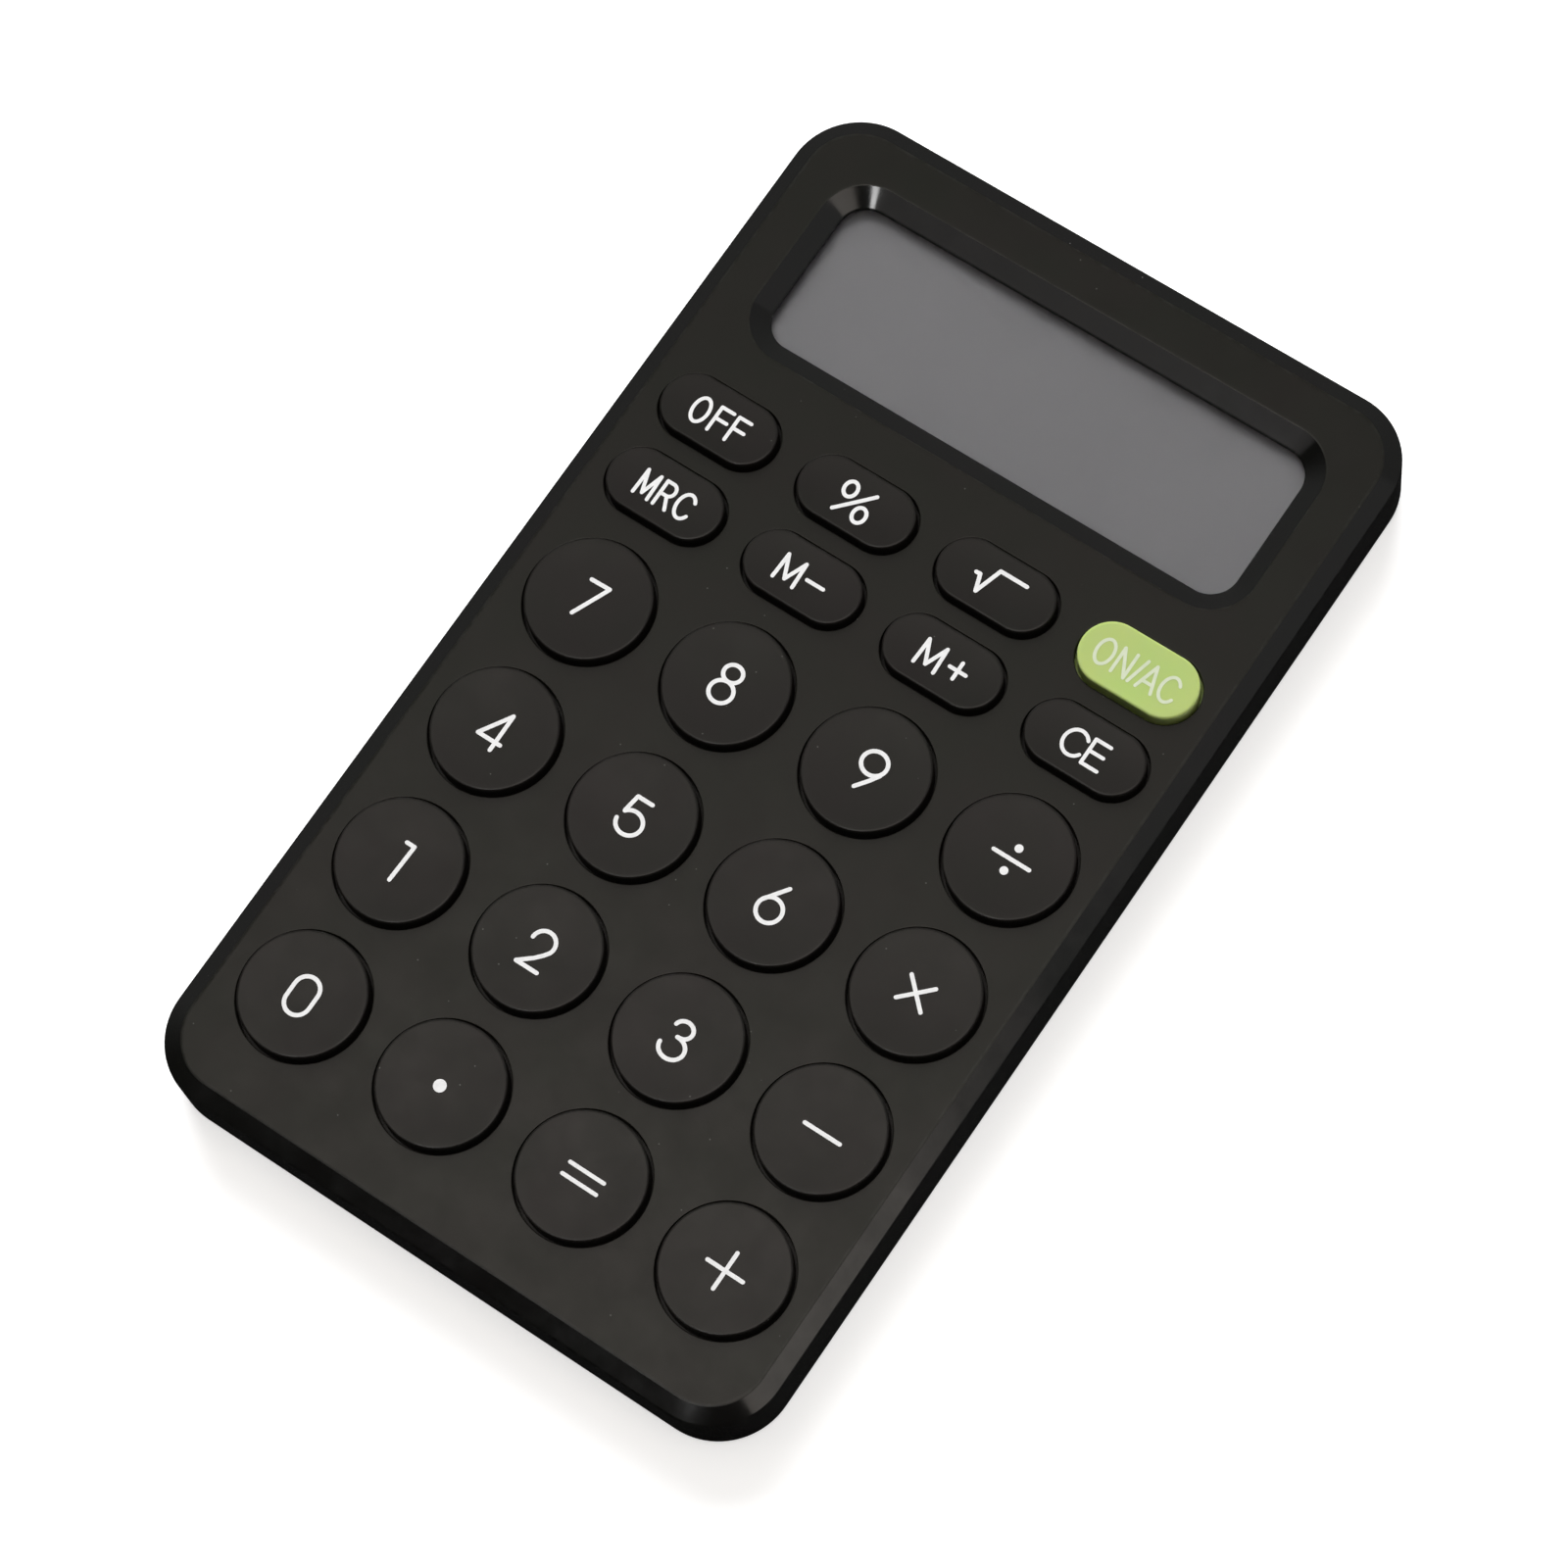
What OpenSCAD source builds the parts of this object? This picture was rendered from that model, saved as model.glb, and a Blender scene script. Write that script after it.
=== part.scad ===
// Pocket calculator: two moulded shells, a sunk display and twenty-four sprung keys.
// It lies on its back on four rubber feet, with the display end towards +Y and the face up.
// The origin is at the middle of the footprint, on the surface that it lies on.

/* [Body] */
// Width of the body
body_w = 70; // [70:0.5:74]
// Length of the body
body_l = 120; // [120:0.5:124]
// Height of the two closed shells, without the feet and keys
body_h = 8; // [8:0.1:10]
// Radius of the body's four corners, seen from the front
corner_r = 7.5; // [7:0.5:9]
// Width of the glossy bevel round the face
bevel_w = 1.9; // [1.4:0.1:2.2]
// Drop of the glossy bevel round the face
bevel_h = 0.9; // [0.5:0.1:1.2]
// Height of the parting line above the back
parting_h = 2.1; // [2:0.1:2.3]
// Thickness of the side walls
wall = 1.6; // [1.5:0.05:1.7]
// Thickness of the face
face_t = 1.5; // [1.4:0.05:1.5]
// Thickness of the back
back_t = 1.2; // [1.1:0.05:1.2]

/* [Display] */
// Width of the clear opening
opening_w = 54.2; // [50:0.2:54.4]
// Height of the clear opening
opening_l = 17.2; // [14:0.2:17.4]
// Distance of the opening's middle above the middle of the body
opening_y = 43.1; // [42.9:0.1:43.3]
// Corner radius of the opening
opening_r = 3; // [2:0.5:4]
// Width of the sloping rim round the opening
rim_w = 2.1; // [1.2:0.1:2.2]
// Drop of the sloping rim
rim_h = 1.2; // [0.8:0.1:1.3]

/* [Keys] */
// Distance between the columns of keys
column_pitch = 16.37; // [16.2:0.01:16.5]
// Distance between the rows of round keys
row_pitch = 15.89; // [15.8:0.01:16]
// Distance between the two rows of long keys
long_row_pitch = 9.3; // [9.2:0.05:9.6]
// Place of the upper row of round keys, above the middle of the body
round_row_y = 1.67; // [1.5:0.05:1.7]
// Place of the upper row of long keys, above the middle of the body
long_row_y = 24.05; // [24:0.05:24.2]
// Diameter of a round key
key_d = 12.8; // [12:0.1:12.9]
// Length of a long key
long_key_l = 12.8; // [12.4:0.1:12.8]
// Width of a long key
long_key_w = 6.7; // [6.4:0.1:6.9]
// Gap round each key
key_gap = 0.3; // [0.25:0.05:0.5]
// Height of the keys above the face
key_proud = 1; // [0.9:0.05:1.2]
// Depth of a key's dished top, as a share of the key's half width
key_dish = 0.02; // [0.01:0.005:0.03]
// How far a key goes down
key_travel = 0.8; // [0.5:0.05:0.8]

/* [Hidden] */
$fn = 64;
over = 0.2;      // how far a cut runs past the surface it starts from

// Heights, from the surface that the feet stand on
foot_proud = 0.5;
back_z = foot_proud;
floor_z = back_z + back_t;
parting_z = back_z + parting_h;
face_z = back_z + body_h;
ceiling_z = face_z - face_t;
key_top_z = face_z + key_proud;

// Shells
cavity_w = body_w - 2 * wall;
cavity_l = body_l - 2 * wall;
cavity_r = corner_r - wall;
back_edge = 0.7;               // bevel round the back
lip_t = 0.7;                   // tongue on the back shell
lip_h = 0.8;
lip_gap = 0.05;
case_boss_r = 2.6;
case_boss_z = parting_z + 0.3; // where the two shells' bosses meet
corner_boss = [body_w / 2 - 4.4, body_l / 2 - 4.2];
side_boss = [body_w / 2 - 4.4, round_row_y - row_pitch / 2];
case_bosses = [
    for (side = [-1, 1])
        for (boss = [corner_boss, side_boss, [corner_boss.x, -corner_boss.y - 0.2]])
            [side * boss.x, boss.y]
];

// Screws
pilot_gap = 0.02;
case_screw = [0.8, 4.6, 1.75, 0.9];  // shank radius and length, head radius and height
board_screw = [0.7, 3, 1.5, 0.7];
case_counterbore_r = 2;
screw_clearance = 0.2;

// Circuit board, under the key sheet
board_t = 0.8;
board_z = 3.1;
board_top_z = board_z + board_t;
board_w = cavity_w - 1.6;
board_top_y = 37;
board_end_y = cavity_l / 2 - 1;
board_l = board_top_y + board_end_y;
board_r = 4;
board_y = (board_top_y - board_end_y) / 2;
post_r = 2.2;
boss_relief = 0.4;
board_posts = [
    for (side = [-1, 1])
        for (y = [long_row_y - long_row_pitch - 5.15, round_row_y - 1.5 * row_pitch, -cavity_l / 2 + 3.9])
            [side * column_pitch, y]
];
chip_place = [0, 17];
chip_r = 6;
chip_h = 0.9;
capacitor = [2, 1.25, 0.8];
capacitor_places = [[10, 20], [10, 17], [10, 14]];
resistor = [1.6, 0.8, 0.45];
resistor_places = [[-10, 21], [-10, 18.6], [-10, 16.2], [-10, 13.8]];

// Key sheet and keys
sheet_t = 0.6;
sheet_w = board_w - 1;
sheet_top_y = 29.4;
sheet_end_y = board_end_y - 0.5;
dome_r = 3.4;
dome_top_r = 2.4;
dome_top_z = 6.15;
dome_hollow_r = 2.9;
dome_hollow_top_r = 1.9;
pill_r = 1.6;
pill_t = 0.6;
pill_z = board_top_z + key_travel;
key_wall = 1.1;
key_roof = 1.3;
key_edge_r = 0.45;
dish_steps = 4;
flange_w = 0.75;
flange_t = 0.55;
flange_top_z = ceiling_z - 0.1;
flange_z = flange_top_z - flange_t;
plunger_r = 2;
plunger_z = dome_top_z + 0.05;

// Display stack, from the ceiling down
tape_t = 0.15;
tape_w = 1.3;
window_t = 0.7;
window_w = opening_w + 3;
window_low_y = 33;
window_high_y = 53.3;
window_l = window_high_y - window_low_y;
window_y = (window_low_y + window_high_y) / 2;
window_z = ceiling_z - tape_t - window_t;
lcd_w = 56.4;
polariser_t = 0.15;
glass_t = 0.55;
reflector_t = 0.2;
polariser_z = window_z - 0.1 - polariser_t;
front_glass_z = polariser_z - glass_t;
rear_glass_z = front_glass_z - glass_t;
reflector_z = rear_glass_z - reflector_t;
ledge_y = 34.3;                // edge of the rear glass, where the front glass's contacts start
front_glass_low_y = 31.8;
holder_w = 59.8;
holder_low_y = 30.4;
holder_high_y = 55;
holder_rail_w = 1.9;
holder_rail_h = 0.6;
zebra_w = 2;
zebra_l = 50;
zebra_y = 32.9;

// Battery bay, behind the display
cell_r = 5.8;
cell_t = 3.05;
bay_y = 47;
bay_r = 8.5;
bay_wall = 1.2;
bay_top_z = 4.15;
cover_r = 8.5;
cover_gap = 0.2;
cover_flange_t = 0.5;
cover_floor_t = 0.6;
cover_neck_r = 7.1;
cover_hole_r = 7.3;
cover_neck_top_z = 2.35;
cup_r = cell_r + 0.3;
lug_r = 8.1;
lug_angle = 28;
lug_slot_r = 8.3;
lug_slot_angle = 34;
cover_turn = 60;               // from locked to free
coin_slot = [12, 1.7, 0.3];
cell_z = back_z + cover_floor_t + 0.05;
contact_t = 0.2;
contact_z = cell_z + cell_t + 0.02;
contact_foot_y = 34.8;

// Feet
foot_r = 4;
foot_t = 1;
foot_places = [for (x = [-23.5, 23.5]) for (y = [-49, 49]) [x, y]];

// The keys: name, column, row and shape. Rows 0 and 1 are the long keys.
KEYS = [
    ["key_off", 0, 0], ["key_percent", 1, 0], ["key_root", 2, 0], ["key_on_clear", 3, 0],
    ["key_memory_recall", 0, 1], ["key_memory_minus", 1, 1], ["key_memory_plus", 2, 1], ["key_clear_entry", 3, 1],
    ["key_7", 0, 2], ["key_8", 1, 2], ["key_9", 2, 2], ["key_divide", 3, 2],
    ["key_4", 0, 3], ["key_5", 1, 3], ["key_6", 2, 3], ["key_multiply", 3, 3],
    ["key_1", 0, 4], ["key_2", 1, 4], ["key_3", 2, 4], ["key_minus", 3, 4],
    ["key_0", 0, 5], ["key_point", 1, 5], ["key_equals", 2, 5], ["key_plus", 3, 5]
];

// Colours, each sub-part's own
charcoal = [0.17, 0.16, 0.155];
key_charcoal = [0.19, 0.18, 0.175];
key_green = [0.62, 0.76, 0.38];
steel = [0.72, 0.72, 0.7];

// Place of a key's middle, from its column and row
function key_x(key) = (key[1] - 1.5) * column_pitch;
function key_y(key) = key[2] < 2 ? long_row_y - key[2] * long_row_pitch : round_row_y - (key[2] - 2) * row_pitch;

// Half width of a key, and the distance between the middles of its two round ends
function key_r(key) = key[2] < 2 ? long_key_w / 2 : key_d / 2;
function key_straight(key) = key[2] < 2 ? long_key_l - long_key_w : 0;

// Rectangle with round corners, about the origin
module rounded_rect(w, l, r) {
    square([w, l - 2 * r], center = true);
    square([w - 2 * r, l], center = true);
    for (x = [-1, 1])
        for (y = [-1, 1])
            translate([x * (w / 2 - r), y * (l / 2 - r)])
                circle(r);
}

module rounded_block(w, l, h, r) {
    linear_extrude(h)
        rounded_rect(w, l, r);
}

// Block with round corners whose top edges slope in by slope_w over the height slope_h.
// A negative slope_w makes the top wider, which is the shape of a countersunk opening.
module sloped_block(w, l, h, r, slope_w, slope_h) {
    rotate([90, 0, 0])
        linear_extrude(l - 2 * r, center = true)
            sloped_section(w, h, slope_w, slope_h);
    rotate([90, 0, 90])
        linear_extrude(w - 2 * r, center = true)
            sloped_section(l, h, slope_w, slope_h);
    for (x = [-1, 1])
        for (y = [-1, 1])
            translate([x * (w / 2 - r), y * (l / 2 - r), 0])
                rotate_extrude()
                    polygon([[0, 0], [r, 0], [r, h - slope_h], [r - slope_w, h], [0, h]]);
}

module sloped_section(w, h, slope_w, slope_h) {
    polygon([
        [-w / 2, 0], [w / 2, 0], [w / 2, h - slope_h],
        [w / 2 - slope_w, h], [-w / 2 + slope_w, h], [-w / 2, h - slope_h]
    ]);
}

// Bar with two round ends, straight mm between their middles, lying along X
module stadium(straight, r, h) {
    linear_extrude(h)
        union() {
            for (end = straight > 0 ? [-1, 1] : [0])
                translate([end * straight / 2, 0])
                    circle(r);
            if (straight > 0)
                square([straight, 2 * r], center = true);
        }
}

module at_places(places, z) {
    for (place = places)
        translate([place.x, place.y, z])
            children();
}

module at_keys(z) {
    for (key = KEYS)
        translate([key_x(key), key_y(key), z])
            children();
}

// Wedge of a disc, half the angle to each side of +X
module sector(r, angle, h) {
    rotate([0, 0, -angle / 2])
        rotate_extrude(angle = angle)
            square([r, h]);
}

module front_shell() {
    color(charcoal)
        difference() {
            union() {
                difference() {
                    translate([0, 0, parting_z])
                        sloped_block(body_w, body_l, face_z - parting_z, corner_r, bevel_w, bevel_h);
                    translate([0, 0, parting_z - over])
                        rounded_block(cavity_w, cavity_l, ceiling_z - parting_z + over, cavity_r);
                }
                at_places(case_bosses, case_boss_z)
                    cylinder(r = case_boss_r, h = ceiling_z - case_boss_z + over);
                at_places(board_posts, board_top_z)
                    cylinder(r = post_r, h = ceiling_z - board_top_z + over);
            }
            lip_rebate();
            display_opening();
            key_openings();
            at_places(case_bosses, case_boss_z - over)
                cylinder(r = case_screw[0] + pilot_gap, h = ceiling_z - case_boss_z - 0.3);
            at_places(board_posts, board_top_z - over)
                cylinder(r = board_screw[0] + pilot_gap, h = ceiling_z - board_top_z - 0.2);
        }
}

// Step inside the front shell's edge that the back shell's tongue goes into
module lip_rebate() {
    rebate_out = 2 * (lip_t + lip_gap);
    translate([0, 0, parting_z - over])
        difference() {
            rounded_block(cavity_w + rebate_out, cavity_l + rebate_out, lip_h + lip_gap + over, cavity_r + rebate_out / 2);
            translate([0, 0, -over])
                rounded_block(cavity_w - over, cavity_l - over, lip_h + 1, cavity_r - over / 2);
        }
}

module display_opening() {
    reach = (rim_h + over) / rim_h;
    translate([0, opening_y, ceiling_z - over])
        sloped_block(opening_w, opening_l, face_t + 2 * over, opening_r, -rim_w * reach, rim_h * reach);
}

module key_openings() {
    for (key = KEYS)
        translate([key_x(key), key_y(key), ceiling_z - over])
            stadium(key_straight(key), key_r(key) + key_gap, face_t + 2 * over);
}

module back_shell() {
    color(charcoal)
        difference() {
            union() {
                difference() {
                    translate([0, 0, parting_z])
                        mirror([0, 0, 1])
                            sloped_block(body_w, body_l, parting_h, corner_r, back_edge, back_edge);
                    translate([0, 0, floor_z])
                        rounded_block(cavity_w, cavity_l, parting_h, cavity_r);
                }
                shell_lip();
                at_places(case_bosses, floor_z - over)
                    cylinder(r = case_boss_r, h = case_boss_z - floor_z + over);
                translate([0, bay_y, floor_z - over])
                    cylinder(r = bay_r + bay_wall, h = bay_top_z - floor_z + over);
            }
            battery_hole();
            at_places(case_bosses, back_z - over)
                cylinder(r = case_counterbore_r, h = back_t + over);
            at_places(case_bosses, back_z)
                cylinder(r = case_screw[0] + screw_clearance, h = parting_h + 1);
            at_places(foot_places, back_z - over)
                cylinder(r = foot_r + 0.1, h = foot_t - foot_proud + over);
        }
}

module shell_lip() {
    lip_in = 2 * lip_t;
    translate([0, 0, parting_z - over])
        difference() {
            rounded_block(cavity_w + lip_in, cavity_l + lip_in, lip_h + over, cavity_r + lip_t);
            translate([0, 0, -over])
                rounded_block(cavity_w, cavity_l, lip_h + 1, cavity_r);
        }
}

// Round hole for the battery cover: a seat for its flange, a ledge that its lugs turn
// behind, two ways through the ledge for the lugs, and the bay for the cell
module battery_hole() {
    ledge_z = back_z + cover_flange_t + 0.05;
    translate([0, bay_y, 0]) {
        translate([0, 0, back_z - over])
            cylinder(r = cover_r + cover_gap, h = ledge_z - back_z + over);
        translate([0, 0, back_z])
            cylinder(r = cover_hole_r, h = back_t + over);
        for (side = [0, 180])
            rotate([0, 0, side - cover_turn])
                translate([0, 0, back_z])
                    sector(lug_slot_r, lug_slot_angle, back_t + over);
        translate([0, 0, floor_z])
            cylinder(r = bay_r, h = bay_top_z);
    }
}

module display_window() {
    color([0.85, 0.88, 0.88, 0.3])
        translate([0, window_y, window_z])
            rounded_block(window_w, window_l, window_t, 1.5);
}

// Double-sided tape that holds the window under the face
module window_tape() {
    color([0.08, 0.08, 0.08])
        translate([0, window_y, window_z + window_t])
            difference() {
                rounded_block(window_w, window_l, tape_t, 1.5);
                translate([0, opening_y - window_y, -over])
                    rounded_block(opening_w + 0.4, opening_l + 0.4, tape_t + 2 * over, opening_r);
            }
}

// Flat layer of the display, between two heights up the face
module lcd_layer(low_y, high_y, z, t, inset) {
    translate([-lcd_w / 2 + inset, low_y + inset, z])
        cube([lcd_w - 2 * inset, high_y - low_y - 2 * inset, t]);
}

module lcd_polariser() {
    color([0.46, 0.46, 0.45])
        lcd_layer(ledge_y - 0.8, window_high_y, polariser_z, polariser_t, 0.4);
}

module lcd_front_glass() {
    color([0.55, 0.6, 0.58, 0.5])
        lcd_layer(front_glass_low_y, window_high_y, front_glass_z, glass_t, 0);
}

module lcd_rear_glass() {
    color([0.55, 0.6, 0.58, 0.5])
        lcd_layer(ledge_y, window_high_y, rear_glass_z, glass_t, 0);
}

module lcd_reflector() {
    color([0.5, 0.5, 0.49])
        lcd_layer(ledge_y, window_high_y, reflector_z, reflector_t, 0.4);
}

// Frame round the display glass, with a rail under each end of it
module lcd_holder() {
    pocket_gap = 0.2;
    pocket_w = lcd_w + 2 * pocket_gap;
    pocket_low_y = front_glass_low_y - pocket_gap;
    pocket_l = window_high_y + pocket_gap - pocket_low_y;
    holder_l = holder_high_y - holder_low_y;
    rail_y = (ledge_y + window_high_y) / 2;
    color([0.85, 0.84, 0.8])
        difference() {
            union() {
                translate([-holder_w / 2, holder_low_y, reflector_z])
                    cube([holder_w, holder_l, window_z - reflector_z]);
                for (side = [-1, 1])
                    translate([side * (holder_w - holder_rail_w) / 2, rail_y, reflector_z - holder_rail_h / 2 + 0.1])
                        cube([holder_rail_w, 16, holder_rail_h + 0.2], center = true);
            }
            translate([-pocket_w / 2, pocket_low_y, reflector_z])
                cube([pocket_w, pocket_l, window_z]);
            at_places(case_bosses, 0)
                cylinder(r = case_boss_r + boss_relief, h = face_z);
        }
}

// Rubber strip that carries the display's contacts down to the board
module zebra_strip() {
    color([0.88, 0.75, 0.72])
        translate([-zebra_l / 2, zebra_y - zebra_w / 2, board_top_z])
            cube([zebra_l, zebra_w, front_glass_z - board_top_z]);
}

module circuit_board() {
    color([0.2, 0.42, 0.26])
        difference() {
            translate([0, board_y, board_z])
                rounded_block(board_w, board_l, board_t, board_r);
            at_places(case_bosses, board_z - over)
                cylinder(r = case_boss_r + boss_relief, h = board_t + 2 * over);
            at_places(board_posts, board_z - over)
                cylinder(r = board_screw[0] + screw_clearance, h = board_t + 2 * over);
        }
}

// Low dome of epoxy over the processor, on the board's rear side
module chip_blob() {
    steps = 10;
    color([0.05, 0.05, 0.05])
        translate([chip_place.x, chip_place.y, board_z])
            mirror([0, 0, 1])
                rotate_extrude()
                    polygon(concat(
                        [[0, 0]],
                        [for (i = [0:steps]) [chip_r * cos(90 * i / steps), chip_h * sin(90 * i / steps)]]
                    ));
}

module board_capacitors() {
    color([0.62, 0.5, 0.36])
        at_places(capacitor_places, board_z - capacitor[2] / 2)
            cube(capacitor, center = true);
}

module board_resistors() {
    color([0.1, 0.1, 0.11])
        at_places(resistor_places, board_z - resistor[2] / 2)
            cube(resistor, center = true);
}

// Silicone sheet with a hollow dome under every key
module key_sheet() {
    dome_h = dome_top_z - board_top_z - sheet_t;
    hollow_h = pill_z + pill_t - board_top_z;
    color([0.75, 0.75, 0.72])
        difference() {
            union() {
                translate([0, (sheet_top_y - sheet_end_y) / 2, board_top_z])
                    rounded_block(sheet_w, sheet_top_y + sheet_end_y, sheet_t, board_r);
                at_keys(board_top_z + sheet_t)
                    cylinder(r1 = dome_r, r2 = dome_top_r, h = dome_h);
            }
            at_keys(board_top_z - 0.001)
                cylinder(r1 = dome_hollow_r, r2 = dome_hollow_top_r, h = hollow_h);
            at_places(case_bosses, board_z)
                cylinder(r = case_boss_r + boss_relief, h = face_z);
            at_places(board_posts, board_z)
                cylinder(r = post_r + boss_relief, h = face_z);
        }
}

module carbon_pills() {
    color([0.07, 0.07, 0.07])
        at_keys(pill_z - 0.002)
            cylinder(r = pill_r, h = pill_t);
}

// Height of a key's dished top at a share of the way from its middle to its rounded edge
function dish_z(r, share) = key_top_z - key_dish * r * (1 - share * share);

// Outline of a key from its middle outwards: flange, side, rounded edge and dished top
function key_outline(r) = concat(
    [[0, flange_z], [r + flange_w, flange_z], [r + flange_w, flange_top_z], [r, flange_top_z]],
    [
        for (angle = [0:15:90])
            [r - key_edge_r * (1 - cos(angle)), key_top_z - key_edge_r * (1 - sin(angle))]
    ],
    [
        for (i = [dish_steps - 1:-1:0])
            [(r - key_edge_r) * i / dish_steps, dish_z(r, i / dish_steps)]
    ]
);

module key_solid(straight, r) {
    outline = key_outline(r);
    last = len(outline) - 1;
    for (end = straight > 0 ? [-1, 1] : [0])
        translate([end * straight / 2, 0, 0])
            rotate_extrude()
                polygon(outline);
    if (straight > 0)
        rotate([90, 0, 90])
            linear_extrude(straight, center = true)
                polygon(concat(outline, [for (i = [last - 1:-1:1]) [-outline[i].x, outline[i].y]]));
}

// One key: a cap that is hollow underneath, with a flange that keeps it in its opening
// and a plunger that rests on the sheet's dome
module key_cap(key) {
    roof_z = key_top_z - key_roof;
    color(key[0] == "key_on_clear" ? key_green : key_charcoal)
        translate([key_x(key), key_y(key), 0]) {
            difference() {
                key_solid(key_straight(key), key_r(key));
                translate([0, 0, flange_z - over])
                    stadium(key_straight(key), key_r(key) - key_wall, roof_z - flange_z + over);
            }
            translate([0, 0, plunger_z])
                cylinder(r = plunger_r, h = roof_z - plunger_z + over);
        }
}

// Round cover that turns with a coin: flange, neck with a cup for the cell, and two lugs
module battery_cover() {
    lug_z = floor_z + 0.05;
    color(charcoal)
        translate([0, bay_y, 0])
            difference() {
                union() {
                    translate([0, 0, back_z])
                        cylinder(r = cover_r, h = cover_flange_t);
                    translate([0, 0, back_z])
                        cylinder(r = cover_neck_r, h = cover_neck_top_z - back_z);
                    for (side = [0, 180])
                        rotate([0, 0, side])
                            translate([0, 0, lug_z])
                                sector(lug_r, lug_angle, cover_neck_top_z - lug_z);
                }
                translate([0, 0, back_z + cover_floor_t])
                    cylinder(r = cup_r, h = cell_t);
                translate([-coin_slot.x / 2, -coin_slot.y / 2, back_z - over])
                    cube([coin_slot.x, coin_slot.y, coin_slot.z + over]);
            }
}

// Alkaline button cell: wide positive can, and the narrower negative cap inside the device
module button_cell() {
    step_t = 0.5;
    color(steel)
        translate([0, bay_y, cell_z])
            rotate_extrude()
                polygon([
                    [0, 0], [cell_r - 0.3, 0], [cell_r, 0.3], [cell_r, cell_t - step_t],
                    [cell_r - 0.6, cell_t - step_t], [cell_r - 0.6, cell_t], [0, cell_t]
                ]);
}

// Sprung plate against the cell's side, with an arm to the board
module contact_positive() {
    half_w = 2.5;
    plate_y = bay_y - cell_r - contact_t;
    plate_z = 2.7;
    color(steel) {
        translate([-half_w, plate_y, plate_z])
            cube([2 * half_w, contact_t, contact_z + contact_t - plate_z]);
        translate([-half_w, contact_foot_y + 1, contact_z])
            cube([2 * half_w, plate_y - contact_foot_y - 1 + contact_t, contact_t]);
        contact_foot(-half_w, 2 * half_w);
    }
}

// Leaf over the cell's cap, led round the positive contact to the board
module contact_negative() {
    reach_x = 11.5;
    leaf_w = 3;
    color(steel) {
        translate([-leaf_w / 2, bay_y - leaf_w / 2, contact_z])
            cube([reach_x + leaf_w / 2, leaf_w, contact_t]);
        translate([reach_x - leaf_w, contact_foot_y + 1, contact_z])
            cube([leaf_w, bay_y - contact_foot_y - 1, contact_t]);
        contact_foot(reach_x - leaf_w, leaf_w);
    }
}

// Riser and soldered foot that end each contact on the board
module contact_foot(low_x, w) {
    translate([low_x, contact_foot_y + 1, board_top_z])
        cube([w, contact_t, contact_z + contact_t - board_top_z]);
    translate([low_x, contact_foot_y, board_top_z])
        cube([w, 1 + contact_t, contact_t]);
}

// Cross-head screw pointing up, its head's underside at the origin
module screw(size) {
    shank_r = size[0];
    shank_l = size[1];
    head_r = size[2];
    head_h = size[3];
    recess_w = 0.45;
    recess_l = head_r * 1.3;
    difference() {
        rotate_extrude()
            polygon([
                [0, -head_h], [head_r - 0.35, -head_h], [head_r, -head_h + 0.35], [head_r, 0],
                [shank_r, 0], [shank_r, shank_l - shank_r], [0, shank_l]
            ]);
        for (turn = [0, 90])
            rotate([0, 0, turn])
                translate([0, 0, -head_h])
                    cube([recess_l, recess_w, head_h * 1.1], center = true);
    }
}

module case_screws() {
    color(steel)
        at_places(case_bosses, floor_z)
            screw(case_screw);
}

module board_screws() {
    color(steel)
        at_places(board_posts, board_z)
            screw(board_screw);
}

module rubber_feet() {
    color([0.09, 0.09, 0.09])
        at_places(foot_places, 0)
            rotate_extrude()
                polygon([[0, 0], [foot_r - 0.2, 0], [foot_r, 0.2], [foot_r, foot_t], [0, foot_t]]);
}

front_shell();
back_shell();
display_window();
window_tape();
lcd_polariser();
lcd_front_glass();
lcd_rear_glass();
lcd_reflector();
lcd_holder();
zebra_strip();
circuit_board();
chip_blob();
board_capacitors();
board_resistors();
key_sheet();
carbon_pills();
battery_cover();
button_cell();
contact_positive();
contact_negative();
case_screws();
board_screws();
rubber_feet();
for (key = KEYS)
    key_cap(key);
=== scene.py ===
"""Looks of the pocket calculator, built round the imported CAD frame. All sizes are in metres."""
import math

import bmesh
import bpy
from mathutils import Matrix, Vector
from mathutils.geometry import delaunay_2d_cdt


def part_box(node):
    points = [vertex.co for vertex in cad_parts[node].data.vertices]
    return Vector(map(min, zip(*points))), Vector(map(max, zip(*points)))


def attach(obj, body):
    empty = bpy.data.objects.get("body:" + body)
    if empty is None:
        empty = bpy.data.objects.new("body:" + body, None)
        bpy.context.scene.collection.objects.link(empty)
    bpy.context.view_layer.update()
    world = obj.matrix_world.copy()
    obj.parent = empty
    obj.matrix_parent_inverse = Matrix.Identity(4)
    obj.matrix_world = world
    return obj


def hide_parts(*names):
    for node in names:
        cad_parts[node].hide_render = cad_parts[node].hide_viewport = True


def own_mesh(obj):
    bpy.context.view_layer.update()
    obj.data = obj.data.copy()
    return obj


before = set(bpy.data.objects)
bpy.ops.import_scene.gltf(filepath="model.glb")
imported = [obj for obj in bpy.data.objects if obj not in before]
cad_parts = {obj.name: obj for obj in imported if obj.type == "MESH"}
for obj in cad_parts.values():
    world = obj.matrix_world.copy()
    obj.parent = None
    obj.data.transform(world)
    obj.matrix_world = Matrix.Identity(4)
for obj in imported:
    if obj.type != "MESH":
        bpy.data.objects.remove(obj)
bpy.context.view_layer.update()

MM = 0.001
HOUSING = "housing"

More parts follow.
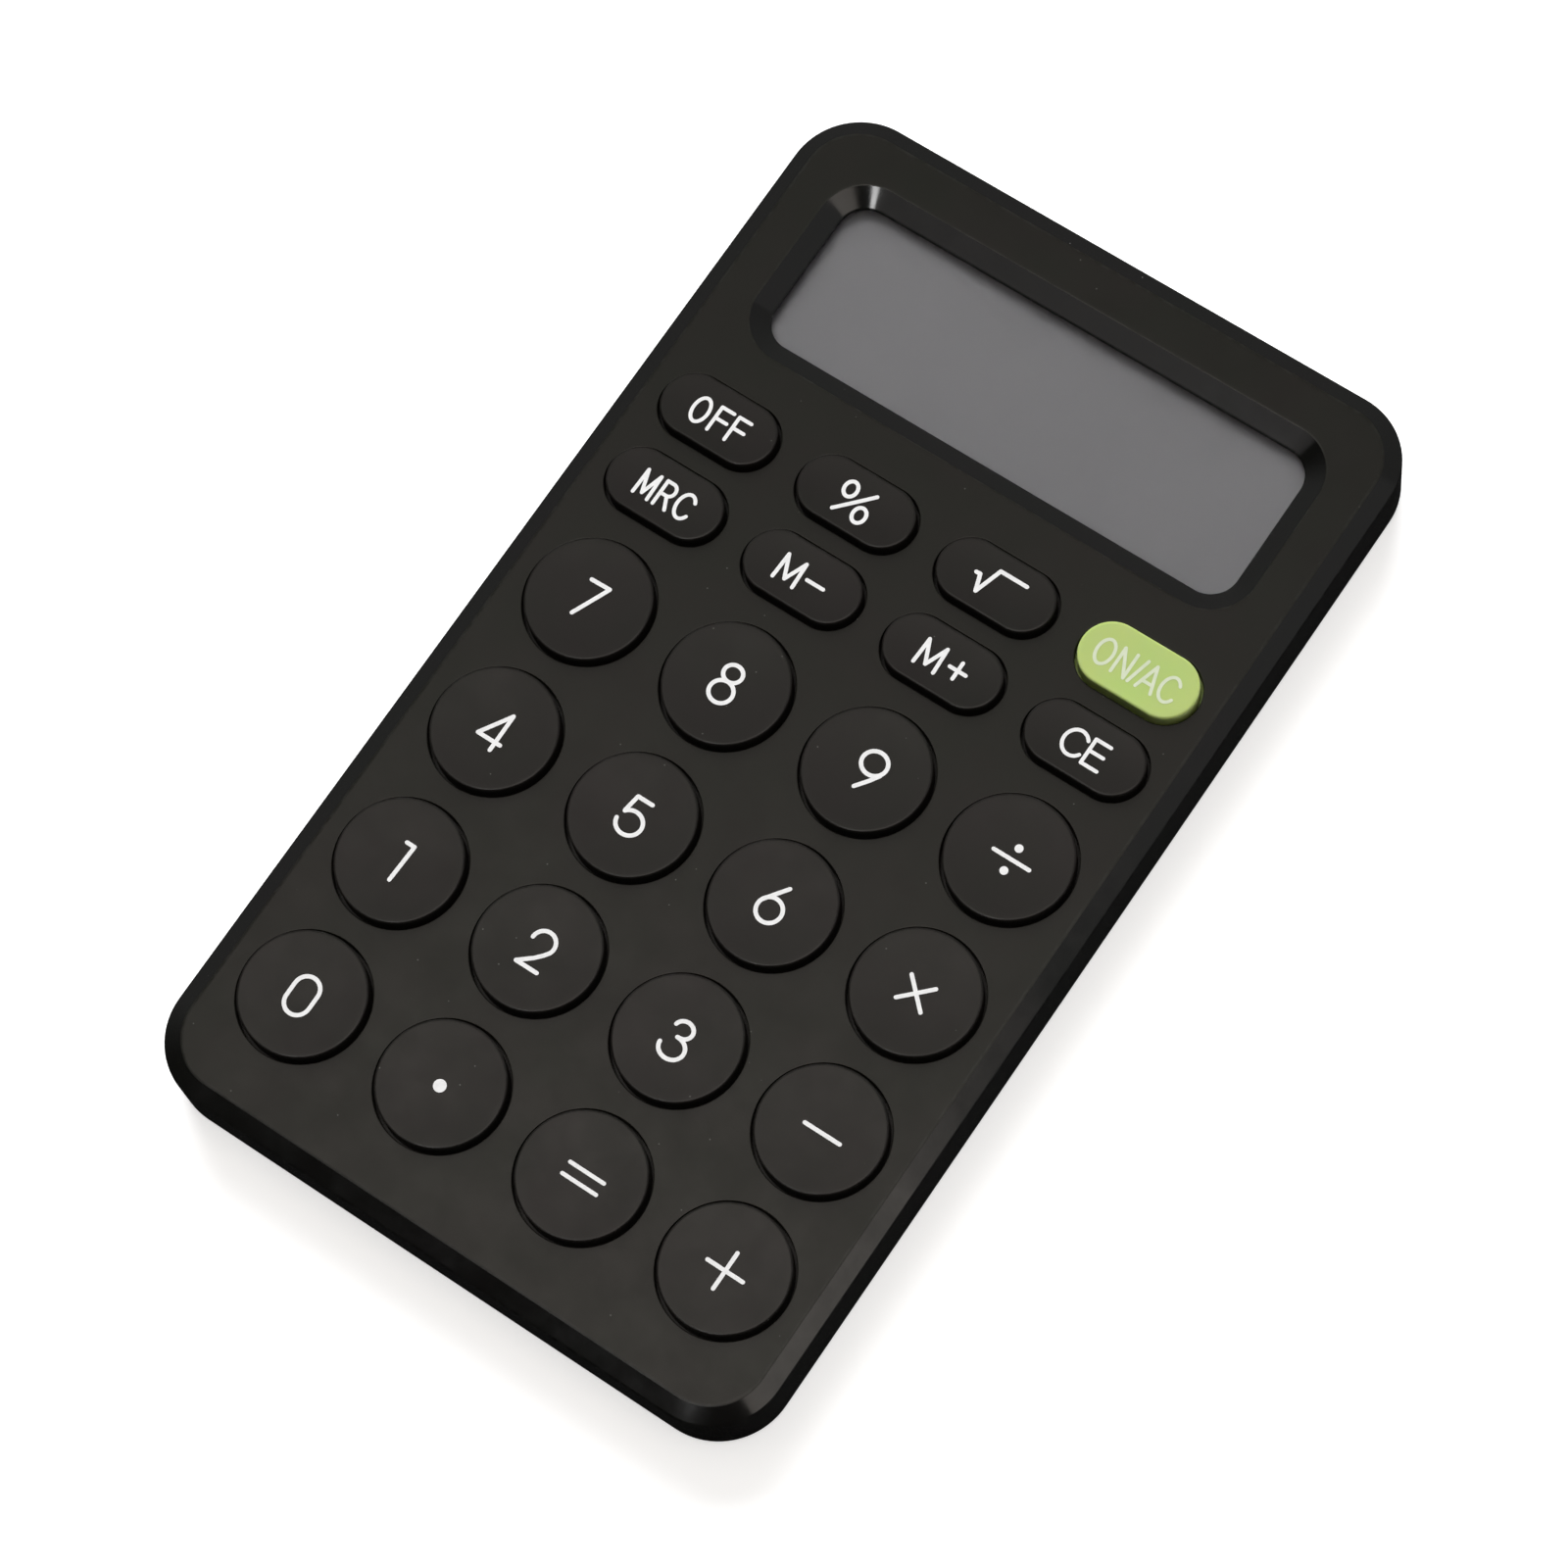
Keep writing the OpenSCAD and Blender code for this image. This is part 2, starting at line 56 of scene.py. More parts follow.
# ---------------------------------------------------------------- sizes
# Heights and outer sizes come from the frame.
front_low, front_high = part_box("front_shell")
back_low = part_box("back_shell")[0]
cover_low, cover_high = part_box("battery_cover")
BODY_W = front_high.x - front_low.x
BODY_L = front_high.y - front_low.y
FACE_Z = front_high.z
PARTING_Z = front_low.z
BACK_Z = back_low.z
BAY_Y = (cover_low.y + cover_high.y) / 2

# Shell sizes that the frame's boxes don't give
CORNER_R = 7.5 * MM
WALL = 1.6 * MM
CEILING_Z = FACE_Z - 1.5 * MM
FLOOR_Z = BACK_Z + 1.2 * MM
BEVEL_W = 1.9 * MM
BEVEL_H = 0.9 * MM
BACK_EDGE = 0.7 * MM
LIP_T = 0.7 * MM
LIP_H = 0.8 * MM
LIP_GAP = 0.05 * MM
BOSS_R = 2.6 * MM
BOSS_Z = PARTING_Z + 0.3 * MM
CASE_PILOT_R = 0.82 * MM
POST_R = 2.2 * MM
POST_Z = 3.9 * MM
BOARD_PILOT_R = 0.72 * MM
PILOT_ROOF = 0.4 * MM          # how far below the ceiling the screws' pilot holes end

# Holes in the back shell
WELL_R = 2 * MM
SHANK_HOLE_R = 1 * MM
POCKET_R = 4.1 * MM
POCKET_D = 0.5 * MM
SEAT_R = 8.7 * MM
SEAT_D = 0.55 * MM
KEYHOLE_R = 7.3 * MM
KEYHOLE_LUG_R = 8.3 * MM
KEYHOLE_LUG_ANGLE = 17         # half the angle that one lug's way in takes up, in degrees
KEYHOLE_LUGS = (120, 300)      # where the lugs go in, in degrees
BAY_R = 8.5 * MM
BAY_WALL_R = 9.7 * MM
BAY_TOP_Z = 4.15 * MM

# Battery cover
COVER_T = 0.5 * MM
NECK_R = 7.1 * MM
LUG_R = 8.1 * MM
LUG_ANGLE = 14
CUP_R = 6.1 * MM
CUP_FLOOR_T = 0.6 * MM
COIN_SLOT_L = 10.3 * MM        # between the middles of its round ends
COIN_SLOT_R = 0.85 * MM
COIN_SLOT_D = 0.3 * MM
MARK_Y = 6.3 * MM
MARK_R = 0.6 * MM
MARK_D = 0.12 * MM

# Feet: the rings under a foot are (inset, height) in mm from its rim to its middle
FOOT_R = 4 * MM
FOOT_RINGS = (
    (1.35, 0.1), (1.55, 0.12), (1.75, 0.1), (1.9, 0),
    (2.6, 0), (2.75, 0.1), (2.95, 0.12), (3.15, 0.1), (3.3, 0),
)

# Screws
THREAD_PITCH = 0.5 * MM
THREAD_D = 0.14 * MM
RECESS_SHARE = 0.58            # length of a cross recess's arm, as a share of the head's radius
RECESS_HALF_W = 0.2 * MM

# Display opening
OPENING_W = 54.2 * MM
OPENING_L = 17.2 * MM
OPENING_Y = 43.1 * MM
OPENING_R = 3 * MM
RIM_W = 2.1 * MM
RIM_H = 1.2 * MM

# Keys
KEY_GAP = 0.3 * MM
KEY_DISH = 0.02                # depth of a key's dished top, as a share of its half width
KEY_EDGE_R = 0.24 * MM
KEY_WALL = 1.1 * MM
KEY_ROOF = 1.3 * MM
FLANGE_W = 0.75 * MM
FLANGE_T = 0.55 * MM
FLANGE_GAP = 0.1 * MM
PLUNGER_R = 2 * MM
DISH_RINGS = 10
INK_T = 0.018 * MM             # half the thickness of a printed legend

# Silicone sheet under the keys: its flat web and the dome under each key
WEB_T = 0.6 * MM
DOME_R = 3.4 * MM
DOME_TOP_R = 2.4 * MM
HOLLOW_R = 2.9 * MM
HOLLOW_TOP_R = 1.9 * MM
PILL_R = 1.6 * MM

# Colours
CHARCOAL = (0.0080, 0.0076, 0.0052)
KEY_CHARCOAL = (0.0088, 0.0076, 0.0062)
BLACK = (0.0045, 0.0044, 0.0038)
GREEN = (0.505, 0.64, 0.21)
DUST = (0.13, 0.13, 0.12)
ROOM_LEVEL = 0.22              # strength of the surround at its lightest

CORNER_STEPS = 20              # points on a quarter of a body corner
ROUND_STEPS = 72               # points round a hole or a key


# ---------------------------------------------------------------- camera
def add_camera():
    """The photograph's view: from high above the lower right corner, a little rolled."""
    azimuth, elevation, roll = math.radians(49.65), math.radians(70.03), math.radians(16.17)
    distance = 486.3 * MM
    target = Vector((2.1, -3.6, 8.5)) * MM
    back = Vector((
        math.sin(azimuth) * math.cos(elevation),
        -math.cos(azimuth) * math.cos(elevation),
        math.sin(elevation),
    ))
    camera = bpy.data.objects.new("camera", bpy.data.cameras.new("camera"))
    camera.data.lens = 116.56
    camera.data.sensor_width = 36
    camera.data.clip_start = 0.01
    camera.data.clip_end = 20
    turn = (-back).to_track_quat("-Z", "Y").to_matrix() @ Matrix.Rotation(-roll, 3, "Z")
    camera.matrix_world = Matrix.Translation(target + back * distance) @ turn.to_4x4()
    bpy.context.scene.collection.objects.link(camera)
    bpy.context.scene.camera = camera


# ---------------------------------------------------------------- outlines
# An outline is a function of an inset: it returns the closed loop of points that lies that far
# inside the drawn shape, and every inset gives the same number of points.
def arc(cx, cy, r, start, end, steps):
    """Points along part of a circle, from start to end degrees."""
    angles = [math.radians(start + (end - start) * i / steps) for i in range(steps + 1)]
    return [(cx + r * math.cos(a), cy + r * math.sin(a)) for a in angles]


def rounded_box(cx, cy, w, l, r, steps=CORNER_STEPS):
    def loop(inset):
        x, y = w / 2 - r, l / 2 - r
        points = []
        for dx, dy, start in ((x, y, 0), (-x, y, 90), (-x, -y, 180), (x, -y, 270)):
            points += arc(cx + dx, cy + dy, r - inset, start, start + 90, steps)
        return points
    return loop


def circle(cx, cy, r, steps=ROUND_STEPS):
    return lambda inset: arc(cx, cy, r - inset, 0, 360, steps)[:-1]


def capsule(cx, cy, straight, r, steps=ROUND_STEPS // 2):
    """Bar with two round ends along X; straight is the distance between their middles."""
    def loop(inset):
        right = arc(cx + straight / 2, cy, r - inset, -90, 90, steps)
        left = arc(cx - straight / 2, cy, r - inset, 90, 270, steps)
        return right + left if straight else right[:-1] + left[:-1]
    return loop


def stepped_circle(cx, cy, r, step_r, half_angle, middles, steps=120):
    """Circle whose radius is step_r within half_angle of each of the middles."""
    def loop(inset):
        points = []
        for i in range(steps):
            angle = 360 * i / steps
            away = min(abs((angle - m + 180) % 360 - 180) for m in middles)
            here = (step_r if away <= half_angle else r) - inset
            turn = math.radians(angle)
            points.append((cx + here * math.cos(turn), cy + here * math.sin(turn)))
        return points
    return loop


def rounded_profile(corners, steps=5):
    """(inset, z, wear) points of a profile given as (inset, z, rounding radius) corners."""
    points = []
    for i, (x, z, r) in enumerate(corners):
        if r == 0 or i in (0, len(corners) - 1):
            points.append((x, z, 0))
            continue
        here = Vector((x, z))
        before = (Vector(corners[i - 1][:2]) - here).normalized()
        after = (Vector(corners[i + 1][:2]) - here).normalized()
        half = before.angle(after) / 2
        middle = here + (before + after).normalized() * (r / math.sin(half))
        start = here + before * (r / math.tan(half)) - middle
        end = here + after * (r / math.tan(half)) - middle
        whole = start.angle(end)
        for k in range(steps + 1):
            share = k / steps
            a = math.sin((1 - share) * whole) / math.sin(whole)
            b = math.sin(share * whole) / math.sin(whole)
            points.append((*(middle + start * a + end * b), math.sin(math.pi * share)))
    return points


# ---------------------------------------------------------------- mesh building
def inside(p, polygon):
    """Whether a point lies in a polygon: its edges cross the point's row an odd number of times."""
    odd = False
    for a, b in zip(polygon, polygon[1:] + polygon[:1]):
        if (a.y > p.y) != (b.y > p.y) and p.x < (b.x - a.x) * (p.y - a.y) / (b.y - a.y) + a.x:
            odd = not odd
    return odd


class Skin:
    """Rings of points and the faces between them, made into one closed mesh."""

    def __init__(self):
        self.points, self.wear, self.faces, self.slots = [], [], [], []

    def ring(self, loop, z, wear=0):
        first = len(self.points)
        self.points += [(x, y, z(x, y) if callable(z) else z) for x, y in loop]
        self.wear += [wear] * len(loop)
        return list(range(first, len(self.points)))

    def face(self, corners, slot=0):
        self.faces.append(corners)
        self.slots.append(slot)

    def bridge(self, low, high, slot=0):
        for i in range(len(low)):
            j = (i + 1) % len(low)
            self.face([low[i], low[j], high[j], high[i]], slot)

    def loft(self, outline, profile, slot=0, start=None):
        """Bands through a profile's (inset, z, wear) points; returns its first and last ring."""
        rings = [start] if start else []
        for inset, z, *wear in profile:
            rings.append(self.ring(outline(inset), z, *wear))
            if len(rings) > 1:
                self.bridge(rings[-2], rings[-1], slot)
        return rings[0], rings[-1]

    def flat(self, outer, holes=(), slot=0):
        """Fill between an outer ring and the rings of its holes, with no new points."""
        loops = [outer, *holes]
        polygons = [[Vector(self.points[i][:2]) / MM for i in loop] for loop in loops]
        index = [i for loop in loops for i in loop]
        edges, start = [], 0
        for loop in loops:
            edges += [(start + i, start + (i + 1) % len(loop)) for i in range(len(loop))]
            start += len(loop)
        points, _, triangles, sources, _, _ = delaunay_2d_cdt(
            [p for polygon in polygons for p in polygon], edges, [], 0, 1e-6,
        )
        for triangle in triangles:
            middle = sum((points[k] for k in triangle), Vector((0, 0))) / 3
            if inside(middle, polygons[0]) and not any(inside(middle, p) for p in polygons[1:]):
                self.face([index[sources[k][0]] for k in triangle], slot)

    def pin(self, x, y, r, low_z, high_z, slot=0):
        """Side of a round pin or hole with a disc at its far end; returns its first ring."""
        first, last = self.loft(circle(x, y, r, steps=24), [(0, low_z), (0, high_z)], slot)
        self.face(last, slot)
        return first

    def make(self, name, materials, body=HOUSING, sharp=35):
        """One smooth-shaded object from the collected faces, riding on a body."""
        mesh = bpy.data.meshes.new(name)
        mesh.from_pydata(self.points, [], self.faces)
        for material in materials:
            mesh.materials.append(material)
        mesh.attributes.new("wear", "FLOAT", "POINT").data.foreach_set("value", self.wear)
        mesh.polygons.foreach_set("material_index", self.slots)
        mesh.polygons.foreach_set("use_smooth", [True] * len(self.faces))
        bm = bmesh.new()
        bm.from_mesh(mesh)
        bmesh.ops.remove_doubles(bm, verts=bm.verts, dist=1e-7)
        bmesh.ops.recalc_face_normals(bm, faces=bm.faces)
        bm.to_mesh(mesh)
        bm.free()
        mesh.set_sharp_from_angle(angle=math.radians(sharp))
        piece = bpy.data.objects.new(name, mesh)
        bpy.context.scene.collection.objects.link(piece)
        weighted = piece.modifiers.new("even_shading", "WEIGHTED_NORMAL")
        weighted.keep_sharp = True
        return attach(piece, body)


# ---------------------------------------------------------------- places
def middle_of(node):
    low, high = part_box(node)
    return (low.x + high.x) / 2, (low.y + high.y) / 2


KEY_NODES = sorted(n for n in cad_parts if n.startswith("key_") and n != "key_sheet")


def key_outline(node, grow=0):
    """A key's top outline, the radius of its ends and the distance between their middles."""
    low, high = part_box(node)
    r = (high.y - low.y) / 2 - FLANGE_W
    straight = high.x - low.x - (high.y - low.y)
    if straight < 0.1 * MM:
        straight = 0
    x, y = middle_of(node)
    return capsule(x, y, straight, r + grow), r, straight


def spread(node):
    """Places of the repeated solids of one node, found from its mesh's loose parts."""
    bm = bmesh.new()
    bm.from_mesh(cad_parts[node].data)
    bmesh.ops.remove_doubles(bm, verts=bm.verts, dist=1e-6)
    left, places = set(bm.verts), []
    while left:
        part, queue = set(), [left.pop()]
        while queue:
            v = queue.pop()
            part.add(v)
            for e in v.link_edges:
                other = e.other_vert(v)
                if other in left:
                    left.discard(other)
                    queue.append(other)
        xs, ys = [v.co.x for v in part], [v.co.y for v in part]
        places.append(((min(xs) + max(xs)) / 2, (min(ys) + max(ys)) / 2))
    bm.free()
    return sorted(places)


CASE_SCREWS = spread("case_screws")
BOARD_SCREWS = spread("board_screws")
FEET = spread("rubber_feet")


# ---------------------------------------------------------------- housing pieces
def boss(x, y, r):
    """A round boss or post, flattened where it would reach into the case's wall."""
    room = WALL + 0.05 * MM
    across, along, corner = BODY_W / 2 - CORNER_R, BODY_L / 2 - CORNER_R, CORNER_R - room

    def fit(px, py):
        past_x, past_y = max(abs(px) - across, 0), max(abs(py) - along, 0)
        share = min(1, corner / max(math.hypot(past_x, past_y), 1e-9))
        return (
            math.copysign(min(abs(px), across) + past_x * share, px),
            math.copysign(min(abs(py), along) + past_y * share, py),
        )
    return lambda inset: [fit(*p) for p in circle(x, y, r - inset, steps=40)(0)]


def build_front_shell(matte, gloss):
    """Front half of the case: bevelled face, key openings, sunk display rim, bosses and posts."""
    skin = Skin()
    rebate = WALL - LIP_T - LIP_GAP
    rebate_z = PARTING_Z + LIP_H + LIP_GAP
    body = rounded_box(0, 0, BODY_W, BODY_L, CORNER_R)
    rounding = 6                   # points of one rounded corner; the face's own are matte
    edge = rounded_profile([
        (WALL, CEILING_Z, 0),
        (WALL, rebate_z, 0),
        (rebate, rebate_z, 0),
        (rebate, PARTING_Z, 0),
        (0, PARTING_Z, 0.15 * MM),
        (0, FACE_Z - BEVEL_H, 0.3 * MM),
        (BEVEL_W, FACE_Z, 0.8 * MM),
        (BEVEL_W + 0.25 * MM, FACE_Z, 0),
    ])
    ceiling, shoulder = skin.loft(body, edge[:-rounding], 1)
    _, bevel_end = skin.loft(body, edge[-rounding:], 0, shoulder)
    face_holes, ceiling_holes = [], []

    rim = rounded_box(0, OPENING_Y, OPENING_W, OPENING_L, OPENING_R)
    edge = rounded_profile([
        (-RIM_W - 0.1 * MM, FACE_Z, 0),
        (-RIM_W, FACE_Z, 0.35 * MM),
        (0, FACE_Z - RIM_H, 0.2 * MM),
        (0, CEILING_Z, 0),
    ])
    top, shoulder = skin.loft(rim, edge[:rounding + 1])
    _, bottom = skin.loft(rim, edge[rounding + 1:], 1, shoulder)
    face_holes.append(top)
    ceiling_holes.append(bottom)

    for node in KEY_NODES:
        opening, _, _ = key_outline(node, KEY_GAP)
        top, bottom = skin.loft(opening, rounded_profile([
            (-0.15 * MM, FACE_Z, 0), (0, FACE_Z, 0.09 * MM), (0, CEILING_Z, 0),
        ], steps=3))
        face_holes.append(top)
        ceiling_holes.append(bottom)

    for places, outer_r, end_z, pilot_r in (
        (CASE_SCREWS, BOSS_R, BOSS_Z, CASE_PILOT_R), (BOARD_SCREWS, POST_R, POST_Z, BOARD_PILOT_R),
    ):
        for x, y in places:
            root, end = skin.loft(boss(x, y, outer_r), [(0, CEILING_Z), (0, end_z)])
            ceiling_holes.append(root)
            skin.flat(end, [skin.pin(x, y, pilot_r, end_z, CEILING_Z - PILOT_ROOF)])

    skin.flat(bevel_end, face_holes)
    skin.flat(ceiling, ceiling_holes)
    piece = skin.make("front_case", [matte, gloss])
    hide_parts("front_shell")


def build_back_shell(spark, gloss):
    """Back half of the case: tongue, screw wells, foot pockets, battery hole and bay."""
    skin = Skin()
    body = rounded_box(0, 0, BODY_W, BODY_L, CORNER_R)
    tongue = WALL - LIP_T
    step = 0.1 * MM                # the gloss ends this far past the lower edge's first corner
    floor, wall_end = skin.loft(body, rounded_profile([
        (WALL, FLOOR_Z, 0),
        (WALL, PARTING_Z + LIP_H, 0),
        (tongue, PARTING_Z + LIP_H, 0),
        (tongue, PARTING_Z, 0),
        (0, PARTING_Z, 0.15 * MM),
        (0, BACK_Z + BACK_EDGE, 0.3 * MM),
        (step, BACK_Z + BACK_EDGE - step, 0),
    ]), 1)
    _, under = skin.loft(body, rounded_profile([
        (step, BACK_Z + BACK_EDGE - step, 0),
        (BACK_EDGE, BACK_Z, 0.08 * MM),
        (BACK_EDGE + 0.035 * MM, BACK_Z, 0),
    ])[1:], 0, wall_end)
    under_holes, floor_holes = [], []

    for x, y in CASE_SCREWS:
        mouth, seat = skin.loft(circle(x, y, WELL_R, steps=40), rounded_profile([
            (-0.04 * MM, BACK_Z, 0), (0, BACK_Z, 0.03 * MM), (0, FLOOR_Z, 0),
        ], steps=3))
        under_holes.append(mouth)
        low, high = skin.loft(circle(x, y, SHANK_HOLE_R, steps=24), [(0, FLOOR_Z), (0, BOSS_Z)])
        skin.flat(seat, [low])
        root, top = skin.loft(boss(x, y, BOSS_R), [(0, FLOOR_Z), (0, BOSS_Z)])
        skin.flat(top, [high])
        floor_holes.append(root)

    for x, y in FEET:
        mouth, bed = skin.loft(circle(x, y, POCKET_R, steps=48), rounded_profile([
            (-0.2 * MM, BACK_Z, 0), (0, BACK_Z, 0.12 * MM), (0, BACK_Z + POCKET_D, 0),
        ], steps=3))
        skin.face(bed)
        under_holes.append(mouth)

    ledge_z = BACK_Z + SEAT_D
    mouth, seat = skin.loft(circle(0, BAY_Y, SEAT_R, steps=96), rounded_profile([
        (-0.2 * MM, BACK_Z, 0), (0, BACK_Z, 0.15 * MM), (0, ledge_z, 0),
    ], steps=3))
    under_holes.append(mouth)
    keyhole = stepped_circle(0, BAY_Y, KEYHOLE_R, KEYHOLE_LUG_R, KEYHOLE_LUG_ANGLE, KEYHOLE_LUGS)
    low, high = skin.loft(keyhole, [(0, ledge_z), (0, FLOOR_Z)])
    skin.flat(seat, [low])
    bay_side = [(0, FLOOR_Z), (0, BAY_TOP_Z)]
    bay_floor, bay_top = skin.loft(circle(0, BAY_Y, BAY_R, steps=96), bay_side)
    skin.flat(bay_floor, [high])
    bay_foot, bay_rim = skin.loft(circle(0, BAY_Y, BAY_WALL_R, steps=96), bay_side)
    skin.flat(bay_rim, [bay_top])
    floor_holes.append(bay_foot)

    skin.flat(under, under_holes)
    skin.flat(floor, floor_holes)
    piece = skin.make("back_case", [spark, gloss])
    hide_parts("back_shell")


# ---------------------------------------------------------------- keys
def dish_z(node):
    """Height of a key's top at a point: full at the rounded edge and lowest along its middle."""
    _, r, straight = key_outline(node)
    x0, y0 = middle_of(node)
    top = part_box(node)[1].z

    def z(x, y):
        past = max(abs(x - x0) - straight / 2, 0)
        away = min(math.hypot(past, y - y0) / (r - KEY_EDGE_R), 1)
        return top - KEY_DISH * r * (1 - away ** 2)
    return z


def build_key(node, material):
    """A key cap: plunger, hollow underside, flange, side, rounded edge and dished top."""
    skin = Skin()
    outline, r, straight = key_outline(node)
    low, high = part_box(node)
    x, y = middle_of(node)
    flange_top = CEILING_Z - FLANGE_GAP
    flange_z = flange_top - FLANGE_T
    roof_z = high.z - KEY_ROOF
    dish_inset = KEY_EDGE_R + 0.02 * MM
    plunger, plunger_root = skin.loft(circle(x, y, PLUNGER_R, steps=32), [(0, low.z), (0, roof_z)])
    skin.face(plunger)
    roof, edge = skin.loft(outline, rounded_profile([
        (KEY_WALL, roof_z, 0),
        (KEY_WALL, flange_z, 0),
        (-FLANGE_W, flange_z, 0.1 * MM),
        (-FLANGE_W, flange_top, 0.1 * MM),
        (0, flange_top, 0),
        (0, high.z, KEY_EDGE_R),
        (dish_inset, high.z, 0),
    ], steps=6))
    skin.flat(roof, [plunger_root])
    dish = dish_z(node)
    last = edge
    for i in range(1, DISH_RINGS):
        ring = skin.ring(outline(dish_inset + (r - dish_inset) * i / DISH_RINGS), dish)
        skin.bridge(last, ring)
        last = ring
    skin.flat(last)
    piece = skin.make(node.replace("key_", "cap_"), [material], node, sharp=50)
    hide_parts(node)


# ---------------------------------------------------------------- sheet under the keys
def build_key_web(silicone):
    """The silicone sheet's flat part: the CAD sheet without its domes, closed where they were."""
    bm = bmesh.new()
    bm.from_mesh(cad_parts["key_sheet"].data)
    bmesh.ops.remove_doubles(bm, verts=bm.verts, dist=1e-7)
    for node in KEY_NODES:
        x, y = middle_of(node)
        dome = [
            face for face in bm.faces
            if all(math.hypot(v.co.x - x, v.co.y - y) < DOME_R + 0.05 * MM for v in face.verts)
        ]
        bmesh.ops.delete(bm, geom=dome, context="FACES")
        bmesh.ops.bridge_loops(bm, edges=[e for e in bm.edges if e.is_boundary])
    bmesh.ops.recalc_face_normals(bm, faces=bm.faces)
    mesh = bpy.data.meshes.new("key_web")
    bm.to_mesh(mesh)
    bm.free()
    mesh.materials.append(silicone)
    piece = bpy.data.objects.new("key_web", mesh)
    bpy.context.scene.collection.objects.link(piece)
    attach(piece, HOUSING)
    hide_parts("key_sheet")


def build_dome(node, silicone, carbon):
    """A hollow dome with the carbon pill under its roof."""
    skin = Skin()
    x, y = middle_of(node)
    low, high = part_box("key_sheet")
    pill_low, pill_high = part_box("carbon_pills")
    web_z = low.z + WEB_T
    outline = circle(x, y, DOME_R, steps=42)
    foot, top = skin.loft(outline, rounded_profile([
        (DOME_R - HOLLOW_R, low.z, 0),
        (0, web_z, 0),
        (DOME_R - DOME_TOP_R, high.z, 0.2 * MM),
        (DOME_R - DOME_TOP_R + 0.25 * MM, high.z, 0),
    ]))
    skin.face(top)
    _, roof = skin.loft(outline, [(DOME_R - HOLLOW_TOP_R, pill_high.z + 0.002 * MM)], 0, foot)
    skin.face(roof)
    under, over = skin.loft(circle(x, y, PILL_R, steps=32), [(0, pill_low.z), (0, pill_high.z)], 1)
    skin.face(under, 1)
    skin.face(over, 1)
    piece = skin.make(node.replace("key_", "dome_"), [silicone, carbon])
    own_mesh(piece)
    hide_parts("key_sheet", "carbon_pills")


# ---------------------------------------------------------------- printed legends
# A legend is a list of strokes, each a list of points in mm about the middle of its key.
SLAB_L = 0.6                   # longest straight slab of a stroke, in mm


def bow(cx, cy, rx, ry, start, end, steps=20):
    """Points along part of an ellipse, from start to end degrees."""
    angles = [math.radians(start + (end - start) * i / steps) for i in range(steps + 1)]
    return [(cx + rx * math.cos(a), cy + ry * math.sin(a)) for a in angles]


def disc(cx, cy, r):
    """A dot, as a stroke of one point with its own width."""
    return [(cx, cy, 2 * r)]


DIGITS = {
    "0": [
        bow(0.09, 0.54, 1.33, 1.34, 0, 180) + bow(0.09, -0.88, 1.33, 1.34, 180, 360)
        + [(1.42, 0.54)],
    ],
    "1": [[(-0.4, 1.87), (0.5, 1.87), (0.35, -2.1)]],
    "2": [
        bow(0.2, 0.75, 1.22, 1.2, 180, -25, 24)
        + [(0.95, -0.25), (0.3, -0.95), (-1.05, -2.05), (1.38, -2.05)],
    ],
    "3": [
        bow(0.05, 0.93, 0.98, 0.86, 170, -75, 24) + [(-0.1, 0.06)],
        [(-0.1, 0.06)] + bow(0.05, -1.1, 1.33, 1.15, 78, -178, 28),
    ],
    "4": [[(0.9, -2.05), (0.88, 2.0), (-1.15, -1.15), (1.48, -1.15)]],
    "5": [
        [(1.1, 1.83), (-0.6, 1.83), (-0.88, 0.05)] + bow(0.2, -0.83, 1.36, 1.27, 141, -172, 30),
    ],
    "6": [[(0.62, 2.0), (-0.35, 0.72), (-1.02, -0.2)], bow(0.12, -0.79, 1.31, 1.3, 0, 360, 40)],
    "7": [[(-0.88, 1.82), (1.25, 1.87), (-0.55, -2.05)]],
    "8": [bow(0.03, 1.14, 1.0, 0.92, 0, 360, 36), bow(0.05, -0.98, 1.24, 1.18, 0, 360, 40)],
    "9": [[(-0.08, -2.05), (0.85, -0.85), (1.5, 0.15)], bow(0.34, 0.9, 1.34, 1.24, 0, 360, 40)],
}

# Capitals and signs in a box of one by one
LETTERS = {
    "O": [bow(0.5, 0.5, 0.5, 0.5, 0, 360, 40)],
    "F": [[(1, 1), (0, 1), (0, 0)], [(0, 0.53), (0.95, 0.53)]],
    "M": [[(0, 0), (0.05, 1), (0.5, 0.13), (0.95, 1), (1, 0)]],
    "R": [
        [(0, 0), (0, 1)] + bow(0.52, 0.745, 0.43, 0.255, 90, -90, 14) + [(0, 0.49)],
        [(0.55, 0.49), (1, 0)],
    ],
    "C": [bow(0.55, 0.5, 0.55, 0.5, 36, 324, 30)],
    "E": [[(0.94, 1), (0, 1), (0, 0), (1, 0)], [(0, 0.53), (0.9, 0.53)]],
    "N": [[(0, 0), (0, 1), (1, 0), (1, 1)]],
    "A": [[(0, 0), (0.5, 1), (1, 0)], [(0.17, 0.3), (0.83, 0.3)]],
    "/": [[(0, 0), (1, 1)]],
    "-": [[(0, 0.52), (1, 0.52)]],
    "+": [[(0, 0.52), (1, 0.52)], [(0.5, 0.86), (0.5, 0.18)]],
}


def word(*marks):
    """Strokes of a word, from each mark with its left and right edge in mm."""
    low, high = -1.52, 1.22        # bottom and top of the capitals
    return [
        [(left + x * (right - left), low + y * (high - low)) for x, y in stroke]
        for mark, left, right in marks for stroke in LETTERS[mark]
    ]


